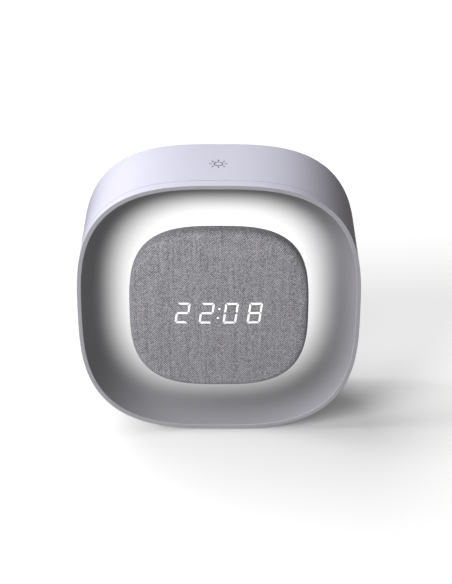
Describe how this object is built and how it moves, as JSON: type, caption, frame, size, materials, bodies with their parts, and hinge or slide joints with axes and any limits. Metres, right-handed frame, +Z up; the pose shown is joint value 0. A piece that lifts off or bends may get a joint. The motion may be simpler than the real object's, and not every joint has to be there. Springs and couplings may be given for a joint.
{
  "type": "night light alarm clock",
  "caption": "Rounded-square bedside alarm clock with a glowing bowl front, a floating cloth-covered digit face, a touch spot on top and push keys at the back.",
  "frame": {"origin": "middle of the standing plane under the body, on the underside of the foot pad", "axes": "+Z up, the clock face looks towards -Y, +X to the viewer's right"},
  "size_m": [0.118, 0.042, 0.1185],
  "materials": {
    "shell": "satin moulded plastic, pale lavender white",
    "shell_rear": "fine spark texture, pale lavender white",
    "inner_white": "moulded white plastic",
    "silicone": "matt silicone rubber",
    "ink": "pad printed ink",
    "copper": "copper foil",
    "flex": "flexible circuit film",
    "cloth": "heathered grey woven cloth",
    "black_plastic": "moulded black plastic",
    "segment_light": "milky light window, lit",
    "board": "solder mask",
    "board_white": "white solder mask",
    "led": "white LED package, lit",
    "diffuser": "milky diffuser, lit",
    "foam": "closed cell foam",
    "cone": "pressed paper cone",
    "steel": "zinc plated steel",
    "clear": "clear light pipe",
    "cell": "foil pouch",
    "lead": "insulated lead",
    "key": "matt moulded key",
    "plunger": "moulded plunger"
  },
  "bodies": {
    "clock": {"front_shell": "shell", "main_housing": "shell", "rear_cover": "shell_rear", "foot_pad": "silicone", "touch_symbol": "ink", "touch_electrode": "copper", "touch_flex": "flex", "cloth_cover": "cloth", "face_carrier": "black_plastic", "puck_back": "inner_white", "puck_neck": "inner_white", "carrier_screws": "steel", "neck_screws": "steel", "display_module": "black_plastic", "display_segments": "segment_light", "clock_board": "board", "display_ribbon": "flex", "light_ring_board": "board_white", "ring_leds": "led", "ring_diffuser": "diffuser", "case_screws": "steel", "speaker_gasket": "foam", "speaker": "black_plastic", "speaker_cone": "cone", "main_board": "board", "board_screws": "steel", "board_chips": "black_plastic", "usb_socket": "steel", "charge_light_pipe": "clear", "switch_bodies": "black_plastic", "slide_switch_body": "steel", "battery_pack": "cell", "battery_foam": "foam", "battery_bracket": "inner_white", "bracket_screws": "steel", "battery_leads": "lead", "speaker_leads": "lead", "key_symbols": "ink"},
    "alarm_key": {"alarm_button": "key", "alarm_plunger": "plunger"},
    "minus_key": {"minus_button": "key", "minus_plunger": "plunger"},
    "plus_key": {"plus_button": "key", "plus_plunger": "plunger"},
    "set_key": {"set_button": "key", "set_plunger": "plunger"},
    "alarm_switch": {"slide_knob": "key"}
  },
  "joints": [
    {"name": "alarm_press", "type": "slide", "parent": "clock", "child": "alarm_key", "axis": [0, -1, 0], "range_m": [0, 0.0005], "stiffness_N_per_m": 1500, "springref_m": -0.0004},
    {"name": "minus_press", "type": "slide", "parent": "clock", "child": "minus_key", "axis": [0, -1, 0], "range_m": [0, 0.0005], "stiffness_N_per_m": 1500, "springref_m": -0.0004},
    {"name": "plus_press", "type": "slide", "parent": "clock", "child": "plus_key", "axis": [0, -1, 0], "range_m": [0, 0.0005], "stiffness_N_per_m": 1500, "springref_m": -0.0004},
    {"name": "set_press", "type": "slide", "parent": "clock", "child": "set_key", "axis": [0, -1, 0], "range_m": [0, 0.0005], "stiffness_N_per_m": 1500, "springref_m": -0.0004},
    {"name": "alarm_slide", "type": "slide", "parent": "clock", "child": "alarm_switch", "axis": [1, 0, 0], "range_m": [0, 0.002]}
  ]
}
